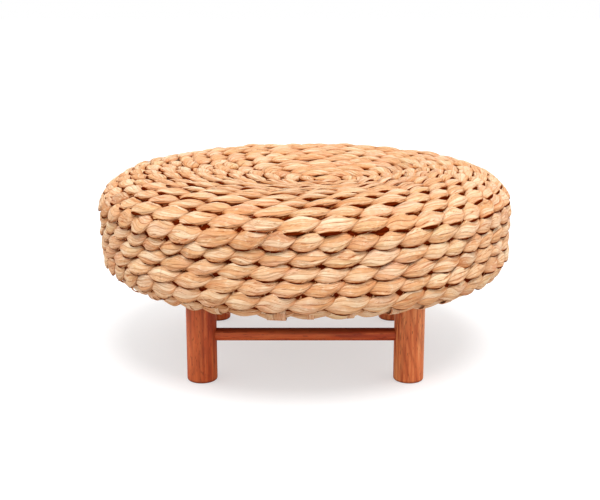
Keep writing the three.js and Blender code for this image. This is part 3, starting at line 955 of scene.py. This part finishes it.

# %% The stained woods
# The foot's dark band is stain soaked into the end grain plus painted contact shadow; the rail's dark upper
# side is painted shadow from the seat above.
FOOT_STAIN_AND_SHADOW = (0.8 * MM, 4 * MM, 0.8, 0)
RAIL_TOP_PAINTED_SHADOW = (FRONT_RAIL_HEIGHT + 3 * MM, FRONT_RAIL_HEIGHT + 6.5 * MM, 0, 0.75)
STAINED_SHADES = ((0.25, 0.027, 0.006), (0.53, 0.070, 0.015), (0.76, 0.19, 0.050))
PALER_SHADES = ((0.42, 0.070, 0.018), (0.74, 0.180, 0.052), (0.92, 0.36, 0.13))
STAINED_RING, PALER_RING = 7 * MM, 5 * MM
STAINED_ROUGHNESS = 0.45
STAINED_WAYS = (("x", ALONG_X, RAIL_TOP_PAINTED_SHADOW), ("y", ALONG_Y, None), ("z", ALONG_Z, FOOT_STAIN_AND_SHADOW))
stained_x, stained_y, stained_z = (
    wood_material("stained_wood_" + name, along, STAINED_SHADES, STAINED_RING, STAINED_ROUGHNESS, stain_and_shade=stain_and_shade)
    for name, along, stain_and_shade in STAINED_WAYS)
paler_z = wood_material("paler_stained_wood_z", ALONG_Z, PALER_SHADES, PALER_RING, STAINED_ROUGHNESS,
                        stain_and_shade=FOOT_STAIN_AND_SHADOW)
print("stained wood:", stained_x.name, stained_y.name, stained_z.name, paler_z.name)

# %% [markdown]
# ## Legs
# Each leg is one straight dowel with a rounded foot. A thinner tenon on top goes up into the batten,
# where a pin crosses it, and two sockets take the rails, the side rail higher than the front and rear
# ones so that the sockets do not meet. A cylinder is added, its top face is inset and extruded into the
# tenon, and the edges are bevelled.

# %% Legs
LEG_CENTRE, LEG_WIDTH = span("leg_front_right", X)
LEG_RADIUS = LEG_WIDTH / 2
LEG_SIDES = 64
JOINT_GAP = 0.3 * MM
BATTEN_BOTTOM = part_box("batten_right")[0][Z]
LEG_SHOULDER = BATTEN_BOTTOM - JOINT_GAP
TENON_RADIUS = 12 * MM
TENON_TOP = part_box("leg_front_right")[1][Z]
SOCKET_BOTTOM = 5 * MM
PIN_HEIGHT, PIN_WIDTH = span("leg_pin_front_right", Z)
PIN_RADIUS = PIN_WIDTH / 2
FOOT_ROUNDING = 3 * MM
TENON_ROUNDING = 1 * MM
SHOULDER_ROUNDING = 0.8 * MM
CUT_OVERRUN = 2 * MM
THROUGH = 60 * MM


def leg(name, side, depth, material):
    """One leg; side and depth are -1 or 1 for left or right and front or rear."""
    x, y = side * LEG_CENTRE, depth * LEG_CENTRE
    bpy.ops.mesh.primitive_cylinder_add(vertices=LEG_SIDES, radius=LEG_RADIUS, depth=LEG_SHOULDER,
                                        location=(x, y, LEG_SHOULDER / 2))
    piece = start_piece(name)
    pick(piece, "faces", lambda p: p.z > LEG_SHOULDER - EDGE_TOLERANCE)
    bpy.ops.mesh.inset(thickness=LEG_RADIUS - TENON_RADIUS)
    bpy.ops.mesh.extrude_region_move(TRANSFORM_OT_translate={"value": (0, 0, TENON_TOP - LEG_SHOULDER)})
    pick(piece, "edges", lambda p: p.z < EDGE_TOLERANCE)
    round_picked(FOOT_ROUNDING, 6)
    pick(piece, "edges", lambda p: p.z > TENON_TOP - EDGE_TOLERANCE)
    round_picked(TENON_ROUNDING, 3)
    pick(piece, "edges", lambda p: (abs(p.z - LEG_SHOULDER) < EDGE_TOLERANCE
                                    and math.hypot(p.x - x, p.y - y) > (LEG_RADIUS + TENON_RADIUS) / 2))
    round_picked(SHOULDER_ROUNDING, 3)
    socket = LEG_RADIUS - SOCKET_BOTTOM + CUT_OVERRUN
    reach = SOCKET_BOTTOM + socket / 2
    bore(piece, RAIL_RADIUS + JOINT_GAP, socket, (x - side * reach, y, FRONT_RAIL_HEIGHT), ALONG_X)
    bore(piece, RAIL_RADIUS + JOINT_GAP, socket, (x, y - depth * reach, SIDE_RAIL_HEIGHT), ALONG_Y)
    bore(piece, PIN_RADIUS + JOINT_GAP, THROUGH, (x, y, PIN_HEIGHT), ALONG_X)
    close_piece(piece, material, name)
    return piece


SIDES = {"left": -1, "right": 1}
DEPTHS = {"front": -1, "rear": 1}
for depth_name, depth in DEPTHS.items():
    for side_name, side in SIDES.items():
        made = leg(f"leg_{depth_name}_{side_name}", side, depth, stained_z if side < 0 else paler_z)
        made.name = f"turned_leg_{depth_name}_{side_name}"
print("leg faces:", len(made.data.polygons))

# %% [markdown]
# ## Rails
# Four thinner dowels join the legs low down. Their ends are chamfered, as a joiner does so that a dowel
# starts easily in its socket. Each runs along its own axis, so its grain does too.

# %% Rails
RAIL_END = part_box("stretcher_front")[1][X]
RAIL_CHAMFER = 1 * MM
RAIL_SIDES = 48


def rail(name, along, place, material):
    """A dowel whose end edges are bevelled, centred on its place."""
    bpy.ops.mesh.primitive_cylinder_add(vertices=RAIL_SIDES, radius=RAIL_RADIUS, depth=2 * RAIL_END,
                                        location=place, rotation=along)
    piece = start_piece(name)
    axis = 0 if along == ALONG_X else 1
    pick(piece, "edges", lambda p: abs(p[axis]) > RAIL_END - EDGE_TOLERANCE)
    round_picked(RAIL_CHAMFER, 2)
    close_piece(piece, material, name)
    piece.name = "rail_" + name.split("_")[1]


for depth_name, depth in DEPTHS.items():
    rail("stretcher_" + depth_name, ALONG_X, (0, depth * LEG_CENTRE, FRONT_RAIL_HEIGHT), stained_x)
for side_name, side in SIDES.items():
    rail("stretcher_" + side_name, ALONG_Y, (side * LEG_CENTRE, 0, SIDE_RAIL_HEIGHT), stained_y)
print("rails:", len(DEPTHS) + len(SIDES))

# %% [markdown]
# ## Battens
# Two battens under the board carry the legs. They are sawn bars with eased edges, bored for the tenons,
# for the pins across them and for the screws that hold them to the board.

# %% Battens
BATTEN_SIZE = [span("batten_right", axis)[1] for axis in (X, Y, Z)]
SCREW_PLACE = abs(span("batten_screw_front_right", Y)[0])
SCREW_RADIUS = 2.5 * MM
HEAD_RADIUS = span("batten_screw_front_right", X)[1] / 2
HEAD_HEIGHT = 3 * MM
BATTEN_EASING = 1.5 * MM


def batten(name, side):
    """A bar with its long edges eased, and its holes bored."""
    x, middle_height = side * LEG_CENTRE, BATTEN_BOTTOM + BATTEN_SIZE[Z] / 2
    bpy.ops.mesh.primitive_cube_add(size=1, location=(x, 0, middle_height), scale=BATTEN_SIZE)
    piece = start_piece(name)
    bpy.ops.object.mode_set(mode="OBJECT")
    bpy.ops.object.transform_apply(location=False, rotation=False, scale=True)
    eased = piece.modifiers.new("eased", "BEVEL")
    eased.width, eased.segments = BATTEN_EASING, 3
    bpy.ops.object.modifier_apply(modifier="eased")
    for depth in DEPTHS.values():
        leg_y, screw_y = depth * LEG_CENTRE, depth * SCREW_PLACE
        bore(piece, TENON_RADIUS + JOINT_GAP, THROUGH, (x, leg_y, PIN_HEIGHT))
        bore(piece, PIN_RADIUS + JOINT_GAP, THROUGH, (x, leg_y, PIN_HEIGHT), ALONG_X, NARROW_HOLE_SIDES)
        bore(piece, SCREW_RADIUS + JOINT_GAP, THROUGH, (x, screw_y, PIN_HEIGHT), sides=NARROW_HOLE_SIDES)
        bore(piece, HEAD_RADIUS + JOINT_GAP, 2 * (HEAD_HEIGHT + JOINT_GAP), (x, screw_y, BATTEN_BOTTOM))
    close_piece(piece, stained_y, name)
    piece.name = "bar_" + name.split("_")[1]
    return piece


for side_name, side in SIDES.items():
    made = batten("batten_" + side_name, side)
print("batten faces:", len(made.data.polygons))

# %% [markdown]
# ## Hoops
# The rope is wound over a frame of bent cane. One hoop lies under the rim and one ties the ribs near
# their lower ends. Each is a torus, and the cane's fine ridges come from its material. The plywood of the
# board is made by the same recipe with wide, pale rings, as a sheet that is peeled off a log shows.

# %% Cane and plywood materials
CANE_SHADES = ((0.36, 0.20, 0.09), (0.56, 0.36, 0.18), (0.70, 0.50, 0.28))
CANE_RING, CANE_ROUGHNESS, CANE_PORES = 5 * MM, 0.55, 0.35
PLY_SHADES = ((0.50, 0.34, 0.18), (0.66, 0.48, 0.28), (0.74, 0.57, 0.36))
PLY_RING, PLY_ROUGHNESS, PLY_PORES = 22 * MM, 0.65, 0.3

cane = wood_material("bare_cane", ALONG_Z, CANE_SHADES, CANE_RING, CANE_ROUGHNESS, CANE_PORES)
plywood = wood_material("bare_plywood", ALONG_Y, PLY_SHADES, PLY_RING, PLY_ROUGHNESS, PLY_PORES)
print("bare materials:", cane.name, plywood.name)

# %% Hoops
HOOP_STEPS = 160
HOOP_SIDES = 20


def hoop_place(node):
    """A packed hoop's radius, its height and its thickness."""
    height, thickness = span(node, Z)
    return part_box(node)[1][X] - thickness / 2, height, thickness


def hoop(name, place):
    """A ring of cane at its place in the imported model."""
    radius, height, thickness = place
    bpy.ops.object.select_all(action="DESELECT")
    bpy.ops.mesh.primitive_torus_add(major_radius=radius, minor_radius=thickness / 2, location=(0, 0, height),
                                     major_segments=HOOP_STEPS, minor_segments=HOOP_SIDES)
    piece = start_piece(name)
    close_piece(piece, cane, name)
    piece.name = name.split("_")[0] + "_cane_hoop"


RIM_HOOP, LOWER_HOOP = hoop_place("rim_hoop"), hoop_place("lower_hoop")
hoop("rim_hoop", RIM_HOOP)
hoop("lower_hoop", LOWER_HOOP)
print("hoops in mm:", [[round(size / MM, 2) for size in place] for place in (RIM_HOOP, LOWER_HOOP)])

# %% [markdown]
# ## Thread bindings
# Fine threads tie the last row of rope to the lower hoop at each rib. They show under the seat's edge as
# small ribbed patches. A binding is a band of threads lying side by side round the row and the hoop
# together, so it is one closed strip whose outer face has a ridge for each thread. Widths and places
# vary, as hand work does. The widest one, left of the middle in the photograph, has a given place and
# stands off a little.

# %% The outline that a binding follows
ROW_HALF_WIDTH = 9.7 * MM
ROW_HALF_THICKNESS = 8.5 * MM
HOOP_CENTRE = np.array(LOWER_HOOP[:2])
BOUND_HOOP_RADIUS = LOWER_HOOP[2] / 2 + JOINT_GAP
LAST_ROW_RADIUS = 236 * MM
LOOP_STEPS = 32

last_turn = slice(int(np.searchsorted(length, length[-1] - 2 * math.pi * LAST_ROW_RADIUS)), None)
last_angle = np.unwrap(np.arctan2(middle[last_turn, 1], middle[last_turn, 0]))


def last_row(angle):
    """The last row's middle and outward direction at an angle, in the half plane."""
    turn = last_angle[0] + (angle - last_angle[0]) % (2 * math.pi)
    columns = [np.hypot(middle[last_turn, 0], middle[last_turn, 1]), middle[last_turn, 2],
               np.hypot(outward[last_turn, 0], outward[last_turn, 1]), outward[last_turn, 2]]
    r, z, out_r, out_z = (float(np.interp(turn, last_angle, column)) for column in columns)
    return np.array([r, z]), np.array([out_r, out_z]) / math.hypot(out_r, out_z)


def loop_outline(row, out, extra):
    """A closed outline in the half plane, tight round the last row and the hoop and stood off a little."""
    side = np.array([-out[1], out[0]])
    outline = []
    for turn in np.linspace(0, 2 * math.pi, LOOP_STEPS, endpoint=False):
        way = np.array([math.cos(turn), math.sin(turn)])
        reach = np.array([ROW_HALF_THICKNESS * (way @ out), ROW_HALF_WIDTH * (way @ side)])
        edge = out * ROW_HALF_THICKNESS * reach[0] + side * ROW_HALF_WIDTH * reach[1]
        on_row = row + edge / np.hypot(*reach)
        on_hoop = HOOP_CENTRE + way * BOUND_HOOP_RADIUS
        outline.append(max(on_row, on_hoop, key=lambda point: point @ way) + way * extra)
    return np.array(outline).T


print("last row starts at station", last_turn.start)

# %% Bindings
THREAD_WIDTH = 1.5 * MM
THREAD_RISE = 0.6 * MM
THREAD_STEPS = 3
BINDING_DEPTH = 0.4 * MM
BINDING_TONE = 1.0
BINDING_CREASE = 0.9
BINDING_MAP_LENGTH = 90 * MM
BINDING_MAP_STEP = 100 * MM


def binding(number, angle, threads, slack=0):
    """One closed ridged strip round the row and the hoop, with its own leaf map, stood off by its slack."""
    across = np.arange(threads * THREAD_STEPS + 1) / THREAD_STEPS * THREAD_WIDTH
    across = across - across[-1] / 2
    ridge = np.tile([0.0, 1.0, 1.0], threads + 1)[:len(across)] * THREAD_RISE
    shifts = np.concatenate([across, across[::-1]])
    rings = []
    for shift, rise in zip(shifts, np.concatenate([ridge, 0 * ridge - BINDING_DEPTH])):
        r, z = loop_outline(*last_row(angle), rise + slack)
        turn = angle + shift / HOOP_CENTRE[0]
        rings.append(np.stack([r * math.cos(turn), r * math.sin(turn), z], 1))
    rings = np.stack(rings, 1)
    rings = np.concatenate([rings, rings[:1]])
    flat = np.zeros(rings.shape[:2])
    # The grooves between threads and the side against the rope count as creases, so the leaf's crease layer
    # paints shade into them.
    crease = flat + np.concatenate([ridge == 0, np.ones(len(ridge))])[None, :] * BINDING_CREASE
    run = flat + np.linspace(0, BINDING_MAP_LENGTH, len(rings))[:, None] + number * BINDING_MAP_STEP
    side = flat + shifts[None, :] / 2
    piece = mesh_from_rings(f"thread_binding_{number + 1:02d}", rings[::-1],
                            {"tone": flat + BINDING_TONE, "crease": crease, "painted_shade": flat},
                            np.stack([run, side], -1), closed=True)
    finish_rope_piece(piece)
    return piece


# %% One binding at each rib
RIB_COUNT = 32
BINDING_WANDER = 0.035
THREAD_COUNTS = (3, 4, 5, 6, 8, 10)
WIDEST_BINDING = 23
WIDEST_THREADS = 14
WIDEST_TURN = 0.077
WIDEST_SLACK = 1.7 * MM
BINDING_SEED = 77

random = np.random.default_rng(BINDING_SEED)
for number in range(RIB_COUNT):
    angle = 2 * math.pi * number / RIB_COUNT + random.uniform(-BINDING_WANDER, BINDING_WANDER)
    threads = int(random.choice(THREAD_COUNTS))
    if number == WIDEST_BINDING:
        made = binding(number, angle + WIDEST_TURN, WIDEST_THREADS, WIDEST_SLACK)
    else:
        made = binding(number, angle, threads)
print("binding faces:", len(made.data.polygons))

# %% [markdown]
# ## Loose fibres
# Here and there a thin fibre has lifted off the leaf. Each is a hair-thin three-sided spike that leaves
# the rope's surface at a low angle and bends. All of them are one light mesh.

# %% Fibres
FIBRE_COUNT = 420
FIBRE_STEPS = 4
FIBRE_SIDES = 3
FIBRE_RADIUS = 0.22 * MM
FIBRE_TAPER = 0.8
FIBRE_LENGTHS = (6 * MM, 22 * MM)
FIBRE_LIFTS = (0.05, 0.4)
FIBRE_SKEWS = (-0.7, 0.9)
FIBRE_BENDS = (-0.5, 0.5)
FIBRE_DROOP = 1.4
ROOT_DEPTHS = (0.36, 0.46)
ROOT_PLACES = (-0.42, 0.42)
ROOT_GATHERING = 0.5
BARE_START, BARE_END = 200, 50
FUZZ_PLACE = (257, 231)
FUZZ_COUNT = 46
FUZZ_STATIONS = 24
BEHIND_PX = 1e3
FIBRE_SEED = 5


def fibre_stations():
    """Random stations, with a cluster where the photograph shows fuzz."""
    random = np.random.default_rng(FIBRE_SEED)
    anywhere = random.integers(BARE_START, len(length) - BARE_END, FIBRE_COUNT)
    far = np.hypot(*(picture_place(middle) - FUZZ_PLACE).T) + BEHIND_PX * (middle[:, 1] > 0)
    near = np.argsort(far)[:FUZZ_STATIONS]
    return np.concatenate([anywhere, random.choice(near, FUZZ_COUNT)]), random


def fibre_rings(station, random):
    """One fibre's corners, ring by ring from its root to its tip."""
    out, along_row, side = outward[station], heading[station], sideways[station]
    size = random.uniform(*FIBRE_LENGTHS)
    lift, skew, curl = (random.uniform(*limits) for limits in (FIBRE_LIFTS, FIBRE_SKEWS, FIBRE_BENDS))
    root = (middle[station] + out * ROPE_THICKNESS * random.uniform(*ROOT_DEPTHS)
            + side * random.uniform(*ROOT_PLACES) * ROPE_WIDTH * (1 - ROOT_GATHERING * random.random()))
    corners = []
    for t in np.arange(FIBRE_STEPS + 1) / FIBRE_STEPS:
        bent = side * (skew * t + curl * t * t) + out * lift * t * (FIBRE_DROOP - t)
        centre = root + size * (along_row * t + bent)
        radius = FIBRE_RADIUS * (1 - FIBRE_TAPER * t)
        for turn in 2 * math.pi * np.arange(FIBRE_SIDES) / FIBRE_SIDES:
            corners.append(centre + radius * (out * math.cos(turn) + side * math.sin(turn)))
    return corners


def fibre_mesh():
    """Vertices and faces of every fibre."""
    stations, random = fibre_stations()
    vertices, faces = [], []
    for station in stations:
        first = len(vertices)
        vertices += fibre_rings(station, random)
        for ring in range(first, first + FIBRE_STEPS * FIBRE_SIDES, FIBRE_SIDES):
            for corner in range(FIBRE_SIDES):
                a, b = ring + corner, ring + (corner + 1) % FIBRE_SIDES
                faces.append((a, b, b + FIBRE_SIDES, a + FIBRE_SIDES))
        faces.append(tuple(range(first, first + FIBRE_SIDES))[::-1])
        faces.append(tuple(range(len(vertices) - FIBRE_SIDES, len(vertices))))
    return vertices, faces


straw, straw_shader = start_material("loose_fibre", 0.7)
straw_place = add_node(straw, "ShaderNodeTexCoord").outputs["Object"]
straw_pattern = stretched_noise(straw, straw_place, (60, 60, 60))
straw_colour = ramp_colours(straw, straw_pattern, [(0.35, (0.50, 0.25, 0.10)), (0.6, (0.86, 0.62, 0.38))])
join(straw, straw_colour, straw_shader.inputs["Base Color"])
vertices, faces = fibre_mesh()
fibre_data = bpy.data.meshes.new("loose_fibres")
fibre_data.from_pydata([tuple(v) for v in vertices], [], faces)
fibres_piece = bpy.data.objects.new("loose_fibres", fibre_data)
bpy.context.scene.collection.objects.link(fibres_piece)
fibres_piece.data.materials.append(straw)
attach(fibres_piece, "root")
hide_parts("rope_winding")
print("fibre faces:", len(faces))

# %% [markdown]
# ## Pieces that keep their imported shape
# The cane stakes, the pins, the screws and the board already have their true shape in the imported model,
# and little of them is ever seen. They stay as they are and get finished materials: bare cane, the rails'
# stained wood, bright zinc whose crystals catch the light, and plywood.

# %% Materials for the frame's own pieces
def dress(node, material):
    """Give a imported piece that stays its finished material."""
    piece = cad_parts[node]
    piece.data.materials.clear()
    piece.data.materials.append(material)


zinc, zinc_shader = start_material("bright_zinc", 0.3)
zinc_shader.inputs["Metallic"].default_value = 1.0
zinc_place = add_node(zinc, "ShaderNodeTexCoord").outputs["Object"]
spangle = stretched_noise(zinc, zinc_place, (900, 900, 900), 2.0)
zinc_colour = ramp_colours(zinc, spangle, [(0.3, (0.42, 0.42, 0.41)), (0.7, (0.68, 0.67, 0.64))])
join(zinc, zinc_colour, zinc_shader.inputs["Base Color"])
join(zinc, scaled(zinc, spangle, 0.3, 0.7, 0.22, 0.45), zinc_shader.inputs["Roughness"])
# The pins stand above the rails, so the rails' painted shadow darkens them all over.
finishes = (("stake_", cane), ("leg_pin_", stained_x), ("batten_screw_", zinc), ("seat_board", plywood))
for start, material in finishes:
    nodes = [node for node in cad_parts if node.startswith(start)]
    for node in nodes:
        dress(node, material)
    print(material.name, "on", len(nodes))

# %% [markdown]
# ## Studio
# The photograph is a bright product picture on white: light comes from all round and a little more from
# above, the front and both sides, and the floor's shadow is faint. A white surround gives that light. The
# floor glows a little, white where the camera sees it and warm where it lights the stool from below,
# because light that goes back and forth between paper and leaf takes the leaf's colour.

# %% Floor
FLOOR_SIZE = 30
FLOOR_COLOUR = (0.50, 0.495, 0.495)
GLOW_ON_STOOL = 0.13
GLOW_SEEN = 0.53
GLOW_ON_STOOL_COLOUR = (1.0, 0.72, 0.48)

bpy.ops.mesh.primitive_plane_add(size=FLOOR_SIZE)
floor = bpy.context.object
floor.name = "floor"
paper, paper_shader = start_material("floor_paper", 0.9)
paper_shader.inputs["Base Color"].default_value = (*FLOOR_COLOUR, 1)
seen = add_node(paper, "ShaderNodeLightPath").outputs["Is Camera Ray"]
glow_colour = mix_colours(paper, seen, GLOW_ON_STOOL_COLOUR, (1, 1, 1))
join(paper, glow_colour, paper_shader.inputs["Emission Color"])
join(paper, scaled(paper, seen, 0, 1, GLOW_ON_STOOL, GLOW_SEEN), paper_shader.inputs["Emission Strength"])
floor.data.materials.append(paper)
print("floor:", floor.name)

# %% Surround, brighter at the sides and above, and plain white to the camera
HORIZON_LIGHT = 0.70
OVERHEAD_LIGHT = 0.9
SIDE_FILL = 0.6

world = bpy.data.worlds.new("studio")
bpy.context.scene.world = world
world.use_nodes = True
background = world.node_tree.nodes["Background"]
background.inputs["Color"].default_value = (1, 1, 1, 1)
direction = add_node(world, "ShaderNodeSeparateXYZ")
join(world, add_node(world, "ShaderNodeTexCoord").outputs["Generated"], direction.inputs[0])
sky = scaled(world, direction.outputs["Z"], 0, 1, HORIZON_LIGHT, OVERHEAD_LIGHT)
sideways_squared = add_node(world, "ShaderNodeMath", operation="MULTIPLY")
join(world, direction.outputs["X"], sideways_squared.inputs[0])
join(world, direction.outputs["X"], sideways_squared.inputs[1])
fill = add_node(world, "ShaderNodeMath", {1: SIDE_FILL}, operation="MULTIPLY_ADD")
join(world, sideways_squared.outputs[0], fill.inputs[0])
join(world, sky, fill.inputs[2])
seen = add_node(world, "ShaderNodeLightPath").outputs["Is Camera Ray"]
brightest = add_node(world, "ShaderNodeMath", operation="MAXIMUM")
join(world, fill.outputs[0], brightest.inputs[0])
join(world, seen, brightest.inputs[1])
join(world, brightest.outputs[0], background.inputs["Strength"])
print("surround nodes:", len(world.node_tree.nodes))

# %% Key light
SUN_STRENGTH = 1.85
SUN_SPREAD_DEG = 25
SUN_FROM = (0.1, -0.5, 1.0)
sun_data = bpy.data.lights.new("key", "SUN")
sun_data.energy = SUN_STRENGTH
sun_data.angle = math.radians(SUN_SPREAD_DEG)
sun = bpy.data.objects.new("key", sun_data)
sun.rotation_euler = Vector(SUN_FROM).to_track_quat("Z", "Y").to_euler()
bpy.context.scene.collection.objects.link(sun)
bpy.context.scene.view_settings.view_transform = "Standard"
print("key light:", sun.name)
